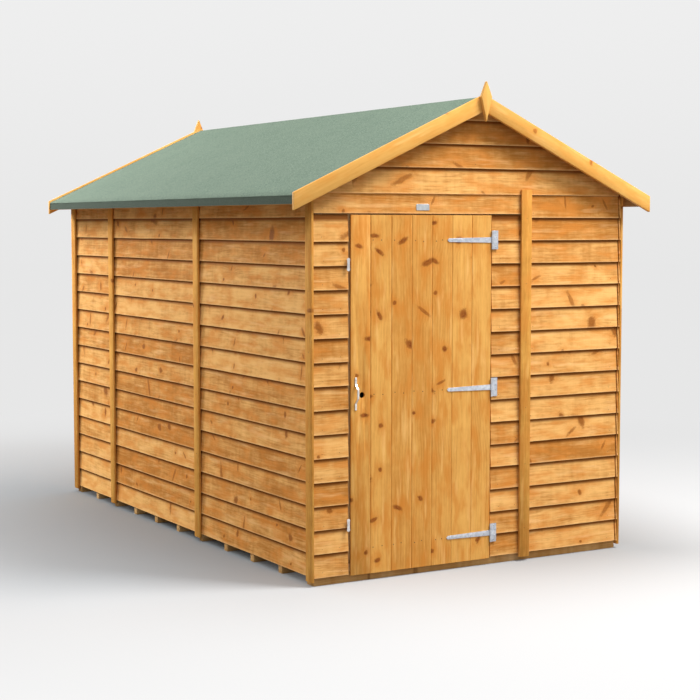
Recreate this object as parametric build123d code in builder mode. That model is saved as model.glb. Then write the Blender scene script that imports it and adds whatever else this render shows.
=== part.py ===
from build123d import *
import math
import os

os.makedirs("parts", exist_ok=True)

# A wooden garden shed, ten feet by six, with overlap boarding, an apex roof covered in
# green mineral felt, one boarded door on T-hinges and a timber floor on bearers.
# Millimetres. X runs across the door gable, Y runs from the door gable (-Y) to the back
# gable (+Y), Z is up from the ground. The origin is on the ground under the middle.

# Overall size
WIDTH = 1800.0
LENGTH = 3072.0
ROOF_SLOPE = 0.46
RIDGE_TOP = 2259.0
EAVE_OVERHANG = 118.0
GABLE_OVERHANG = 63.0

# Timber sections
STRIP_THICK = 12.0
STRIP_WIDTH = 60.0
BOARD_PITCH = 110.0
CLAD_DEPTH = 16.0
LAP_FACE_STEP = 8.0
LAP_BACK_STEP = 5.0
LAP_COVER = 15.0
STUD = 38.0
BARGE_THICK = 18.0
BARGE_DROP = 79.4
ROOF_BOARD_THICK = 11.0
FELT_THICK = 3.0
FELT_DRIP_BOTTOM = 1747.0
LEDGE_THICK = 20.0
DOOR_BOARD_THICK = 11.0
MOVING_GAP = 5.0

# Levels above the ground
BEARER_TOP = 38.0
FLOOR_TOP = 50.0
CLAD_BOTTOM = 38.0
DOOR_HEAD = 1706.0
GABLE_BOTTOM = 1798.0
GABLE_SECOND_BOARD = 1921.0
GABLE_PITCH = 113.0
GABLE_BOARDS = 4
SIDE_TOP = 1834.0

# Places along the front, from the middle of the gable
PANEL_JOINT_X = 290.0
DOOR_LEFT = -693.0
DOOR_RIGHT = 88.0
LEFT_BOARDS_END = -705.0
RIGHT_BOARDS_START = 93.5
DOOR_BOTTOM = 33.0
DOOR_TOP = DOOR_HEAD - MOVING_GAP

# Panel joints along the sides, from the front face
SIDE_JOINTS = (1252.0, 2433.0)

# Derived planes
SIDE_FACE = WIDTH / 2 - STRIP_THICK
SIDE_BACK = SIDE_FACE - CLAD_DEPTH
SIDE_INNER = SIDE_BACK - STUD
FRONT_FACE = -LENGTH / 2
BACK_FACE = LENGTH / 2
GABLE_BACK = LENGTH / 2 - CLAD_DEPTH
GABLE_INNER = GABLE_BACK - STUD
SLOPE_ANGLE = math.atan(ROOF_SLOPE)
FELT_RISE = FELT_THICK / math.cos(SLOPE_ANGLE)
BOARD_RISE = ROOF_BOARD_THICK / math.cos(SLOPE_ANGLE)
DECK_RIDGE = RIDGE_TOP - FELT_RISE
SOFFIT_RIDGE = DECK_RIDGE - BOARD_RISE
EAVE_X = WIDTH / 2 + EAVE_OVERHANG
ROOF_END = LENGTH / 2 + GABLE_OVERHANG - BARGE_THICK


def write(part, name):
    part.label = name
    export_step(part, "parts/" + name + ".step")


def under_slope(ridge, x):
    return ridge - ROOF_SLOPE * abs(x)


# Lapped boarding: each board leans out at its foot over the top of the board below

def lap_points(lines, top):
    heights = list(lines) + [top]
    face = []
    for low, high in zip(heights, heights[1:]):
        lean = LAP_FACE_STEP * min(1.0, (high - low) / BOARD_PITCH)
        face.append((0.0, low))
        face.append((lean, high))
    back = [(CLAD_DEPTH - LAP_BACK_STEP, lines[0])]
    for line in lines[1:]:
        back.append((CLAD_DEPTH, line + LAP_COVER))
        back.append((CLAD_DEPTH - LAP_BACK_STEP, line + LAP_COVER))
    back.append((CLAD_DEPTH, top))
    return face + back[::-1]


def lap_profile(plane, face, inward, lines, top):
    points = [(face + inward * depth, height) for depth, height in lap_points(lines, top)]
    with BuildSketch(plane) as profile:
        with BuildLine():
            Polyline(*points, close=True)
        make_face()
    return profile.sketch


def board_lines(bottom, top):
    count = int((top - bottom - LAP_COVER) // BOARD_PITCH) + 1
    return [bottom + BOARD_PITCH * i for i in range(count)]


def gable_outline(y_high, ridge, half_width, bottom):
    with BuildSketch(Plane.XZ.offset(-y_high)) as outline:
        with BuildLine():
            Polyline(
                (-half_width, bottom),
                (half_width, bottom),
                (half_width, under_slope(ridge, half_width)),
                (0.0, ridge),
                (-half_width, under_slope(ridge, half_width)),
                close=True,
            )
        make_face()
    return outline.sketch


def vee_groove(plane, seam, surface, width, depth):
    """The V joint between two boards, cut from the given level of the sketch plane."""
    with BuildSketch(plane) as groove:
        with BuildLine():
            Polyline(
                (seam - width / 2, surface),
                (seam + width / 2, surface),
                (seam, surface + depth),
                close=True,
            )
        make_face()
    return groove.sketch


def box_between(low, high):
    size = [b - a for a, b in zip(low, high)]
    centre = [(a + b) / 2 for a, b in zip(low, high)]
    with Locations(tuple(centre)):
        Box(*size)


# Floor: bearers across the width, and the boards on them

BEARER_INSET = 18.0
BEARER_WIDE = 62.0
BEARER_NARROW = 38.0
BEARER_COUNT = 11
BEARER_END_X = SIDE_FACE - 6.0
FLOOR_BOARD_COUNT = 16
SMALL_VEE_WIDTH = 4.0
SMALL_VEE_DEPTH = 2.0

with BuildPart() as floor_bearers:
    first = FRONT_FACE + BEARER_INSET + BEARER_WIDE / 2
    spacing = -2 * first / (BEARER_COUNT - 1)
    for i in range(BEARER_COUNT):
        outer = i in (0, BEARER_COUNT - 1)
        half = (BEARER_WIDE if outer else BEARER_NARROW) / 2
        y = first + spacing * i
        box_between((-BEARER_END_X, y - half, 0), (BEARER_END_X, y + half, BEARER_TOP))
write(floor_bearers.part, "floor_bearers")

with BuildPart() as floor_boards:
    box_between((-SIDE_BACK, -GABLE_BACK, BEARER_TOP), (SIDE_BACK, GABLE_BACK, FLOOR_TOP))
    floor_board_width = 2 * SIDE_BACK / FLOOR_BOARD_COUNT
    back_edge = Plane.XZ.offset(-GABLE_BACK)
    for i in range(1, FLOOR_BOARD_COUNT):
        seam = -SIDE_BACK + floor_board_width * i
        groove = vee_groove(back_edge, seam, FLOOR_TOP, SMALL_VEE_WIDTH, -SMALL_VEE_DEPTH)
        extrude(groove, amount=2 * GABLE_BACK, mode=Mode.SUBTRACT)
write(floor_boards.part, "floor_boards")

# Side walls: three boarded panels each, on studs and rails

side_lines = board_lines(CLAD_BOTTOM, SIDE_TOP)
side_panels = ("front", "middle", "rear")


def side_panel_ends(side, index):
    joints = [0.0, SIDE_JOINTS[0], SIDE_JOINTS[1], LENGTH]
    start = FRONT_FACE + joints[index]
    end = FRONT_FACE + joints[index + 1]
    if side < 0 and index == 0:
        start += CLAD_DEPTH
    if index == 2:
        end -= CLAD_DEPTH
    return start, end


for side, side_name in ((-1, "left"), (1, "right")):
    for index, panel_name in enumerate(side_panels):
        start, end = side_panel_ends(side, index)
        profile = lap_profile(
            Plane.XZ.offset(-end), side * SIDE_FACE, -side, side_lines, SIDE_TOP
        )
        with BuildPart() as side_panel:
            extrude(profile, amount=end - start)
        write(side_panel.part, side_name + "_wall_" + panel_name + "_panel")

RAIL_TOP = SIDE_TOP
LOW_RAIL_TOP = FLOOR_TOP + STUD
MID_RAIL = 872.0


def side_stud_rows():
    first = -GABLE_BACK
    last = GABLE_BACK
    joints = [FRONT_FACE + joint for joint in SIDE_JOINTS]
    rows = [(first, first + STUD)]
    rows.append(((first + joints[0] - STUD) / 2, (first + joints[0] + STUD) / 2))
    rows.append((joints[0] - STUD, joints[0] + STUD))
    rows.append(((joints[0] + joints[1] - STUD) / 2, (joints[0] + joints[1] + STUD) / 2))
    rows.append((joints[1] - STUD, joints[1] + STUD))
    rows.append((last - STUD, last))
    return rows


for side, side_name in ((-1, "left"), (1, "right")):
    x_low = min(side * SIDE_BACK, side * SIDE_INNER)
    x_high = max(side * SIDE_BACK, side * SIDE_INNER)
    rows = side_stud_rows()
    with BuildPart() as side_studs:
        for y_low, y_high in rows:
            box_between((x_low, y_low, LOW_RAIL_TOP), (x_high, y_high, RAIL_TOP - STUD))
    write(side_studs.part, side_name + "_wall_studs")
    with BuildPart() as side_rails:
        box_between((x_low, -GABLE_BACK, FLOOR_TOP), (x_high, GABLE_BACK, LOW_RAIL_TOP))
        box_between((x_low, -GABLE_BACK, RAIL_TOP - STUD), (x_high, GABLE_BACK, RAIL_TOP))
        for before, after in zip(rows, rows[1:]):
            box_between((x_low, before[1], MID_RAIL), (x_high, after[0], MID_RAIL + STUD))
    write(side_rails.part, side_name + "_wall_rails")

# Gable walls

gable_lines = [GABLE_BOTTOM]
gable_lines += [GABLE_SECOND_BOARD + GABLE_PITCH * i for i in range(GABLE_BOARDS - 1)]
panel_lines = board_lines(CLAD_BOTTOM, GABLE_BOTTOM)
door_side_lines = panel_lines[:-1]


def gable_wall(end, lines, top, x_low, x_high):
    return lap_profile(Plane.YZ.offset(x_low), end * BACK_FACE, -end, lines, top), x_high - x_low


def lower_panel(name, end, lines, top, x_low, x_high):
    profile, run = gable_wall(end, lines, top, x_low, x_high)
    with BuildPart() as panel:
        extrude(profile, amount=run)
    write(panel.part, name)


lower_panel("front_wall_left_of_door", -1, door_side_lines, DOOR_HEAD,
            -SIDE_FACE, LEFT_BOARDS_END)
lower_panel("front_wall_right_of_door", -1, door_side_lines, DOOR_HEAD,
            RIGHT_BOARDS_START, PANEL_JOINT_X)
lower_panel("front_wall_right_panel", -1, panel_lines, GABLE_BOTTOM, PANEL_JOINT_X, SIDE_BACK)
lower_panel("back_wall_left_panel", 1, panel_lines, GABLE_BOTTOM, -SIDE_FACE, PANEL_JOINT_X)
lower_panel("back_wall_right_panel", 1, panel_lines, GABLE_BOTTOM, PANEL_JOINT_X, SIDE_FACE)


def gable_node(name, end, half_left, half_right):
    profile, run = gable_wall(end, gable_lines, SOFFIT_RIDGE, -half_left, half_right)
    outline = gable_outline(
        max(end * BACK_FACE, end * GABLE_BACK), SOFFIT_RIDGE, SIDE_FACE, GABLE_BOTTOM
    )
    with BuildPart() as gable:
        extrude(profile, amount=run)
        extrude(outline, amount=CLAD_DEPTH, mode=Mode.INTERSECT)
        if end < 0:
            head, head_run = gable_wall(
                end, [DOOR_HEAD], GABLE_BOTTOM, -SIDE_FACE, PANEL_JOINT_X
            )
            extrude(head, amount=head_run)
    write(gable.part, name)


gable_node("front_wall_gable", -1, SIDE_FACE, SIDE_BACK)
gable_node("back_wall_gable", 1, SIDE_FACE, SIDE_FACE)

# Gable frames: studs, rails and the sloping rails under the roof

HEAD_RAIL_LOW = 1690.0
HEAD_RAIL_TOP = HEAD_RAIL_LOW + STUD
RAFTER_RISE = STUD / math.cos(SLOPE_ANGLE)
RAFTER_RIDGE = SOFFIT_RIDGE - RAFTER_RISE
LEFT_POST = (-728.0, -670.0)
RIGHT_POST = (80.0, 138.0)
BACK_LEFT_STUD_X = -290.0
front_studs = (
    (-SIDE_INNER, -SIDE_INNER + STUD),
    LEFT_POST,
    RIGHT_POST,
    (PANEL_JOINT_X - STUD, PANEL_JOINT_X + STUD),
    (SIDE_INNER - STUD, SIDE_INNER),
)
back_studs = (
    (-SIDE_INNER, -SIDE_INNER + STUD),
    (BACK_LEFT_STUD_X - STUD / 2, BACK_LEFT_STUD_X + STUD / 2),
    (PANEL_JOINT_X - STUD, PANEL_JOINT_X + STUD),
    (SIDE_INNER - STUD, SIDE_INNER),
)


def gable_studs(name, end, rows):
    y_low = min(end * GABLE_BACK, end * GABLE_INNER)
    y_high = y_low + STUD
    with BuildPart() as studs:
        for x_low, x_high in rows:
            box_between((x_low, y_low, LOW_RAIL_TOP), (x_high, y_high, HEAD_RAIL_LOW))
    with BuildPart() as uppers:
        for x in (-SIDE_INNER + STUD / 2, 0.0, SIDE_INNER - STUD / 2):
            box_between(
                (x - STUD / 2, y_low, HEAD_RAIL_TOP), (x + STUD / 2, y_high, RAFTER_RIDGE)
            )
        extrude(
            gable_outline(y_high, RAFTER_RIDGE, SIDE_INNER, HEAD_RAIL_TOP),
            amount=STUD,
            mode=Mode.INTERSECT,
        )
    with BuildPart() as joined:
        add(studs.part)
        add(uppers.part)
    write(joined.part, name)


def gable_rails(name, end):
    y_low = min(end * GABLE_BACK, end * GABLE_INNER)
    y_high = y_low + STUD
    with BuildPart() as rails:
        box_between((-SIDE_INNER, y_low, FLOOR_TOP), (SIDE_INNER, y_high, LOW_RAIL_TOP))
        box_between((-SIDE_INNER, y_low, HEAD_RAIL_LOW), (SIDE_INNER, y_high, HEAD_RAIL_TOP))
        for side in (-1, 1):
            outer = side * SIDE_INNER
            with BuildSketch(Plane.XZ.offset(-y_high)):
                with BuildLine():
                    Polyline(
                        (0.0, SOFFIT_RIDGE),
                        (outer, under_slope(SOFFIT_RIDGE, outer)),
                        (outer, under_slope(RAFTER_RIDGE, outer)),
                        (0.0, RAFTER_RIDGE),
                        close=True,
                    )
                make_face()
            extrude(amount=STUD)
    write(rails.part, name)


gable_studs("front_wall_studs", -1, front_studs)
gable_studs("back_wall_studs", 1, back_studs)
gable_rails("front_wall_rails", -1)
gable_rails("back_wall_rails", 1)

# Cover strips over the panel joints and corners

SIDE_STRIP_BOTTOM = 20.0
SIDE_STRIP_TOP = 1822.0
GABLE_STRIP_TOP = 1825.0

for side, side_name in ((-1, "left"), (1, "right")):
    x_low = min(side * SIDE_FACE, side * WIDTH / 2)
    x_high = x_low + STRIP_THICK
    centres = [FRONT_FACE + STRIP_WIDTH / 2]
    centres += [FRONT_FACE + joint for joint in SIDE_JOINTS]
    centres += [BACK_FACE - STRIP_WIDTH / 2]
    with BuildPart() as side_strips:
        for y in centres:
            box_between(
                (x_low, y - STRIP_WIDTH / 2, SIDE_STRIP_BOTTOM),
                (x_high, y + STRIP_WIDTH / 2, SIDE_STRIP_TOP),
            )
    write(side_strips.part, side_name + "_wall_cover_strips")

with BuildPart() as gable_strips:
    for end in (-1, 1):
        y_low = min(end * BACK_FACE, end * (BACK_FACE + STRIP_THICK))
        box_between(
            (PANEL_JOINT_X - STRIP_WIDTH / 2, y_low, SIDE_STRIP_BOTTOM),
            (PANEL_JOINT_X + STRIP_WIDTH / 2, y_low + STRIP_THICK, GABLE_STRIP_TOP),
        )
write(gable_strips.part, "gable_cover_strips")

# Roof: purlins and eave rails, boards, felt, barge boards and finials

PURLIN_X = 430.0
PURLIN_WIDE = 38.0
PURLIN_DEEP = 63.0
EAVE_RAIL_WIDE = 38.0
DECK_EDGE_X = EAVE_X - FELT_THICK
ROOF_BOARD_COUNT = 26

with BuildPart() as roof_purlins:
    for side in (-1, 1):
        inner = side * (PURLIN_X - PURLIN_WIDE / 2)
        outer = side * (PURLIN_X + PURLIN_WIDE / 2)
        low = under_slope(SOFFIT_RIDGE, PURLIN_X) - PURLIN_DEEP
        with BuildSketch(Plane.XZ.offset(-GABLE_INNER)):
            with BuildLine():
                Polyline(
                    (inner, under_slope(SOFFIT_RIDGE, inner)),
                    (outer, under_slope(SOFFIT_RIDGE, outer)),
                    (outer, low),
                    (inner, low),
                    close=True,
                )
            make_face()
        extrude(amount=2 * GABLE_INNER)
    with BuildSketch(Plane.XZ.offset(-GABLE_INNER)):
        with BuildLine():
            half = PURLIN_WIDE / 2
            Polyline(
                (-half, under_slope(SOFFIT_RIDGE, half)),
                (0.0, SOFFIT_RIDGE),
                (half, under_slope(SOFFIT_RIDGE, half)),
                (half, SOFFIT_RIDGE - PURLIN_DEEP),
                (-half, SOFFIT_RIDGE - PURLIN_DEEP),
                close=True,
            )
        make_face()
    extrude(amount=2 * GABLE_INNER)
    for side in (-1, 1):
        inner = side * (DECK_EDGE_X - EAVE_RAIL_WIDE)
        outer = side * DECK_EDGE_X
        with BuildSketch(Plane.XZ.offset(-ROOF_END)):
            with BuildLine():
                Polyline(
                    (inner, under_slope(SOFFIT_RIDGE, inner)),
                    (outer, under_slope(SOFFIT_RIDGE, outer)),
                    (outer, FELT_DRIP_BOTTOM),
                    (inner, FELT_DRIP_BOTTOM),
                    close=True,
                )
            make_face()
        extrude(amount=2 * ROOF_END)
write(roof_purlins.part, "roof_purlins")

roof_board_width = 2 * ROOF_END / ROOF_BOARD_COUNT

for side, side_name in ((-1, "left"), (1, "right")):
    edge = side * DECK_EDGE_X
    underside = Plane(
        origin=(0, 0, SOFFIT_RIDGE), x_dir=(0, side, 0), z_dir=(side, 0, -ROOF_SLOPE)
    )
    with BuildPart() as roof_boards:
        with BuildSketch(Plane.XZ.offset(-ROOF_END)):
            with BuildLine():
                Polyline(
                    (0.0, DECK_RIDGE),
                    (edge, under_slope(DECK_RIDGE, edge)),
                    (edge, under_slope(SOFFIT_RIDGE, edge)),
                    (0.0, SOFFIT_RIDGE),
                    close=True,
                )
            make_face()
        extrude(amount=2 * ROOF_END)
        for i in range(1, ROOF_BOARD_COUNT):
            seam = -ROOF_END + roof_board_width * i
            groove = vee_groove(underside, seam, 0.0, SMALL_VEE_WIDTH, SMALL_VEE_DEPTH)
            extrude(groove, amount=EAVE_X / math.cos(SLOPE_ANGLE), mode=Mode.SUBTRACT)
    write(roof_boards.part, "roof_boards_" + side_name)
    outer = side * EAVE_X
    with BuildPart() as roof_felt:
        with BuildSketch(Plane.XZ.offset(-ROOF_END)):
            with BuildLine():
                Polyline(
                    (0.0, RIDGE_TOP),
                    (outer, under_slope(RIDGE_TOP, outer)),
                    (outer, FELT_DRIP_BOTTOM),
                    (edge, FELT_DRIP_BOTTOM),
                    (edge, under_slope(DECK_RIDGE, edge)),
                    (0.0, DECK_RIDGE),
                    close=True,
                )
            make_face()
        extrude(amount=2 * ROOF_END)
    write(roof_felt.part, "roof_felt_" + side_name)

BARGE_APEX = 2269.0
BARGE_END_X = 1022.0

for end, end_name in ((-1, "front"), (1, "back")):
    y_high = max(end * ROOF_END, end * (ROOF_END + BARGE_THICK))
    for side, side_name in ((-1, "left"), (1, "right")):
        outer = side * BARGE_END_X
        with BuildPart() as barge_board:
            with BuildSketch(Plane.XZ.offset(-y_high)):
                with BuildLine():
                    Polyline(
                        (0.0, BARGE_APEX),
                        (outer, under_slope(BARGE_APEX, outer)),
                        (outer, under_slope(BARGE_APEX, outer) - BARGE_DROP),
                        (0.0, BARGE_APEX - BARGE_DROP),
                        close=True,
                    )
                make_face()
            extrude(amount=BARGE_THICK)
        write(barge_board.part, end_name + "_barge_board_" + side_name)

FINIAL_TIP = 2328.5
FINIAL_SHOULDER = 2256.0
FINIAL_FOOT = 2139.5
FINIAL_WIDTH = 60.0

with BuildPart() as finials:
    for end in (-1, 1):
        near = ROOF_END + BARGE_THICK
        y_high = max(end * near, end * (near + BARGE_THICK))
        with BuildSketch(Plane.XZ.offset(-y_high)):
            with BuildLine():
                Polyline(
                    (0.0, FINIAL_TIP),
                    (FINIAL_WIDTH / 2, FINIAL_SHOULDER),
                    (0.0, FINIAL_FOOT),
                    (-FINIAL_WIDTH / 2, FINIAL_SHOULDER),
                    close=True,
                )
            make_face()
        extrude(amount=BARGE_THICK)
write(finials.part, "finials")

# Door leaf: upright boards on three ledges with two braces

HINGE_HEIGHTS = (158.0, 872.0, 1583.0)
LEDGE_HEIGHT = 70.0
LEDGE_LEFT = -658.0
LEDGE_RIGHT = 68.0
BRACE_WIDTH = 60.0
BRACE_GAP = 1.0
LOCK_X = -634.0
LOCK_Z = 872.0
LOCK_RADIUS = 14.0
LOCK_LEDGE_LEFT = -606.0
LOCK_BOARD_WIDTH = 104.0
FULL_BOARDS = 6
GROOVE_WIDTH = 8.0
GROOVE_DEPTH = 3.5
DOOR_BACK = FRONT_FACE + DOOR_BOARD_THICK

first_seam = DOOR_LEFT + LOCK_BOARD_WIDTH
board_width = (DOOR_RIGHT - first_seam) / FULL_BOARDS


def door_groove(seam):
    return vee_groove(
        Plane.XY.offset(DOOR_BOTTOM), seam, FRONT_FACE, GROOVE_WIDTH, GROOVE_DEPTH
    )


with BuildPart() as door_lock_board:
    box_between((DOOR_LEFT, FRONT_FACE, DOOR_BOTTOM), (first_seam, DOOR_BACK, DOOR_TOP))
    with BuildSketch(Plane.XZ.offset(-DOOR_BACK)):
        with Locations((LOCK_X, LOCK_Z)):
            Circle(LOCK_RADIUS)
    extrude(amount=DOOR_BOARD_THICK, mode=Mode.SUBTRACT)
    groove = door_groove(first_seam)
    extrude(groove, amount=DOOR_TOP - DOOR_BOTTOM, mode=Mode.SUBTRACT)
write(door_lock_board.part, "door_lock_board")

with BuildPart() as door_boards:
    box_between((first_seam, FRONT_FACE, DOOR_BOTTOM), (DOOR_RIGHT, DOOR_BACK, DOOR_TOP))
    for i in range(FULL_BOARDS):
        groove = door_groove(first_seam + board_width * i)
        extrude(groove, amount=DOOR_TOP - DOOR_BOTTOM, mode=Mode.SUBTRACT)
write(door_boards.part, "door_boards")

LEDGE_BACK = DOOR_BACK + LEDGE_THICK

with BuildPart() as door_ledges:
    for height in HINGE_HEIGHTS:
        left = LOCK_LEDGE_LEFT if height == LOCK_Z else LEDGE_LEFT
        box_between(
            (left, DOOR_BACK, height - LEDGE_HEIGHT / 2),
            (LEDGE_RIGHT, LEDGE_BACK, height + LEDGE_HEIGHT / 2),
        )
    for below, above in zip(HINGE_HEIGHTS, HINGE_HEIGHTS[1:]):
        low = below + LEDGE_HEIGHT / 2 + BRACE_GAP
        high = above - LEDGE_HEIGHT / 2 - BRACE_GAP
        with BuildSketch(Plane.XZ.offset(-LEDGE_BACK)):
            with BuildLine():
                Polyline(
                    (LEDGE_RIGHT - BRACE_WIDTH, low),
                    (LEDGE_RIGHT, low),
                    (LEDGE_LEFT + BRACE_WIDTH, high),
                    (LEDGE_LEFT, high),
                    close=True,
                )
            make_face()
        extrude(amount=LEDGE_THICK)
write(door_ledges.part, "door_ledges")

# T-hinges: a long tapering strap on the door, an upright plate on the wall, and a pin

PIN_X = 90.5
PIN_Y = FRONT_FACE - 6.0
PIN_RADIUS = 2.5
PIN_BORE = 2.55
KNUCKLE_RADIUS = 5.0
KNUCKLE_HEIGHT = 90.0
STRAP_THICK = 3.0
STRAP_TIP_X = -166.0
STRAP_ROOT_WIDTH = 26.0
STRAP_TIP_WIDTH = 17.0
MIDDLE_KNUCKLE = 31.0
KNUCKLE_GAP = 0.5
PLATE_WIDTH = 30.0
PLATE_HEIGHT = 90.0
LEAF_GAP = 0.6
ROLL_START = 1.0
ROLL_BACK_Y = FRONT_FACE - 1.2


def pin_circle(bottom, radius):
    with BuildSketch(Plane.XY.offset(bottom)) as circle:
        with Locations((PIN_X, PIN_Y)):
            Circle(radius)
    return circle.sketch


with BuildPart() as hinge_straps:
    for height in HINGE_HEIGHTS:
        root_x = PIN_X - KNUCKLE_RADIUS - LEAF_GAP
        half_tip = STRAP_TIP_WIDTH / 2
        half_root = STRAP_ROOT_WIDTH / 2
        with BuildSketch(Plane.XZ.offset(-FRONT_FACE)):
            with BuildLine():
                Polyline(
                    (root_x, height - half_root),
                    (root_x, height + half_root),
                    (STRAP_TIP_X + half_tip, height + half_tip),
                    (STRAP_TIP_X, height),
                    (STRAP_TIP_X + half_tip, height - half_tip),
                    close=True,
                )
            make_face()
        extrude(amount=STRAP_THICK)
        low = height - MIDDLE_KNUCKLE / 2
        high = height + MIDDLE_KNUCKLE / 2
        box_between(
            (root_x - ROLL_START, FRONT_FACE - STRAP_THICK, low),
            (PIN_X, ROLL_BACK_Y, high),
        )
        extrude(pin_circle(low, KNUCKLE_RADIUS), amount=MIDDLE_KNUCKLE)
        extrude(pin_circle(low, PIN_BORE), amount=MIDDLE_KNUCKLE, mode=Mode.SUBTRACT)
write(hinge_straps.part, "hinge_straps")

with BuildPart() as hinge_plates:
    for height in HINGE_HEIGHTS:
        plate_x = PIN_X + KNUCKLE_RADIUS + LEAF_GAP
        box_between(
            (plate_x, FRONT_FACE - STRAP_THICK, height - PLATE_HEIGHT / 2),
            (plate_x + PLATE_WIDTH, FRONT_FACE, height + PLATE_HEIGHT / 2),
        )
        inner = MIDDLE_KNUCKLE / 2 + KNUCKLE_GAP
        outer = KNUCKLE_HEIGHT / 2
        for low, high in ((-outer, -inner), (inner, outer)):
            extrude(pin_circle(height + low, KNUCKLE_RADIUS), amount=high - low)
            box_between(
                (PIN_X, FRONT_FACE - STRAP_THICK, height + low),
                (plate_x + ROLL_START, ROLL_BACK_Y, height + high),
            )
        with Locations((PIN_X, PIN_Y, height)):
            Cylinder(PIN_RADIUS, KNUCKLE_HEIGHT)
write(hinge_plates.part, "hinge_plates")

# Bow handle bent from one bar: two flat feet, two sloping arms and an upright grip

HANDLE_X = -669.0
HANDLE_WIDTH = 10.0
HANDLE_LOW = 805.0
HANDLE_HIGH = 953.0
HANDLE_REACH = 26.0
HANDLE_BAR = 4.0
FOOT_HEIGHT = 30.0
GRIP_HEIGHT = 42.0
BEND_RADIUS = 5.0

with BuildPart() as pull_handle:
    middle = (HANDLE_LOW + HANDLE_HIGH) / 2
    foot_y = FRONT_FACE - HANDLE_BAR / 2
    grip_y = FRONT_FACE - HANDLE_REACH + HANDLE_BAR / 2
    with BuildSketch(Plane.YZ.offset(HANDLE_X - HANDLE_WIDTH / 2)):
        with BuildLine() as bend:
            FilletPolyline(
                (foot_y, HANDLE_LOW),
                (foot_y, HANDLE_LOW + FOOT_HEIGHT),
                (grip_y, middle - GRIP_HEIGHT / 2),
                (grip_y, middle + GRIP_HEIGHT / 2),
                (foot_y, HANDLE_HIGH - FOOT_HEIGHT),
                (foot_y, HANDLE_HIGH),
                radius=BEND_RADIUS,
            )
            offset(amount=HANDLE_BAR / 2, side=Side.BOTH, kind=Kind.INTERSECTION)
        make_face()
    extrude(amount=HANDLE_WIDTH)
write(pull_handle.part, "pull_handle")

# Turn buttons on the wall beside the door, upright when the door is free to open

BUTTON_X = -711.0
BUTTON_HEIGHTS = {"lower": 272.5, "upper": 1475.0}
BUTTON_LENGTH = 60.0
BUTTON_WIDTH = 17.0
BUTTON_WAIST = 13.6
BUTTON_THICK = 3.0
BUTTON_BACK = FRONT_FACE - MOVING_GAP
PIN_HEAD_RADIUS = 5.0
PIN_HEAD_THICK = 2.0
END_PLAY = 0.1

for name, height in BUTTON_HEIGHTS.items():
    lobe = (BUTTON_LENGTH - BUTTON_WIDTH) / 2
    with BuildPart() as turn_button:
        with BuildSketch(Plane.XZ.offset(-BUTTON_BACK)):
            with Locations((BUTTON_X, height - lobe), (BUTTON_X, height + lobe)):
                Circle(BUTTON_WIDTH / 2)
            with Locations((BUTTON_X, height)):
                Rectangle(BUTTON_WAIST, BUTTON_LENGTH - BUTTON_WIDTH)
                Circle(PIN_BORE, mode=Mode.SUBTRACT)
        extrude(amount=BUTTON_THICK)
    write(turn_button.part, "turn_button_" + name)

with BuildPart() as turn_button_pins:
    for height in BUTTON_HEIGHTS.values():
        with BuildSketch(Plane.XZ.offset(-FRONT_FACE)):
            with Locations((BUTTON_X, height)):
                Circle(PIN_HEAD_RADIUS)
        extrude(amount=MOVING_GAP - END_PLAY)
        with BuildSketch(Plane.XZ.offset(-FRONT_FACE)):
            with Locations((BUTTON_X, height)):
                Circle(PIN_RADIUS)
        extrude(amount=MOVING_GAP + BUTTON_THICK + END_PLAY + PIN_HEAD_THICK)
        with BuildSketch(Plane.XZ.offset(-(BUTTON_BACK - BUTTON_THICK - END_PLAY))):
            with Locations((BUTTON_X, height)):
                Circle(PIN_HEAD_RADIUS)
        extrude(amount=PIN_HEAD_THICK)
write(turn_button_pins.part, "turn_button_pins")
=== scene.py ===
import bmesh
import bpy
import math
import random
import numpy as np
from functools import reduce
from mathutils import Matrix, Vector, noise


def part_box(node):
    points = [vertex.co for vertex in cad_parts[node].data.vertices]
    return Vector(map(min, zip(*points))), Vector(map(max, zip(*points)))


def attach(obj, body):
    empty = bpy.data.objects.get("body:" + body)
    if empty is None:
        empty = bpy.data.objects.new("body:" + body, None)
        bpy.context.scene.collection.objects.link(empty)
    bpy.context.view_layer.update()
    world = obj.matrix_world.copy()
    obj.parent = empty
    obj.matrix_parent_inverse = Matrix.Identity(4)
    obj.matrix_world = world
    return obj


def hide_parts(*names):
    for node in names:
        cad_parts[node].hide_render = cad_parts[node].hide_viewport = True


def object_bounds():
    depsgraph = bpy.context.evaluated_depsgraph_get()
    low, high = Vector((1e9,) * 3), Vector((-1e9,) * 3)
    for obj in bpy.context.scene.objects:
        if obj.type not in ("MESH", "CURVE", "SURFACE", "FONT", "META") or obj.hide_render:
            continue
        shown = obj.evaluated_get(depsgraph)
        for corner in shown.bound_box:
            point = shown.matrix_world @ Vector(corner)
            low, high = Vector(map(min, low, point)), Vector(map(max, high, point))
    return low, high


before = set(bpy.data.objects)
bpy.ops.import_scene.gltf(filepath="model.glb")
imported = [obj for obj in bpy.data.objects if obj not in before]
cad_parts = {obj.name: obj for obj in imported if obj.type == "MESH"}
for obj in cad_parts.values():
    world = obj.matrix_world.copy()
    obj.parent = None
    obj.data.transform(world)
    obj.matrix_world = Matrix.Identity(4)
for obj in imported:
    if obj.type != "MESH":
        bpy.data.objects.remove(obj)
cad_low, cad_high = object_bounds()

# A wooden garden shed with overlap boarding. Metres, in the frame's axes: X across the
# door gable, -Y out of the door gable, Z up from the ground.

UP = Vector((0.0, 0.0, 1.0))
FRONT = Vector((0.0, -1.0, 0.0))
BACK = Vector((0.0, 1.0, 0.0))
LEFT = Vector((-1.0, 0.0, 0.0))
RIGHT = Vector((1.0, 0.0, 0.0))
ROOF_SLOPE = 0.46


# Shader graphs

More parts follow.
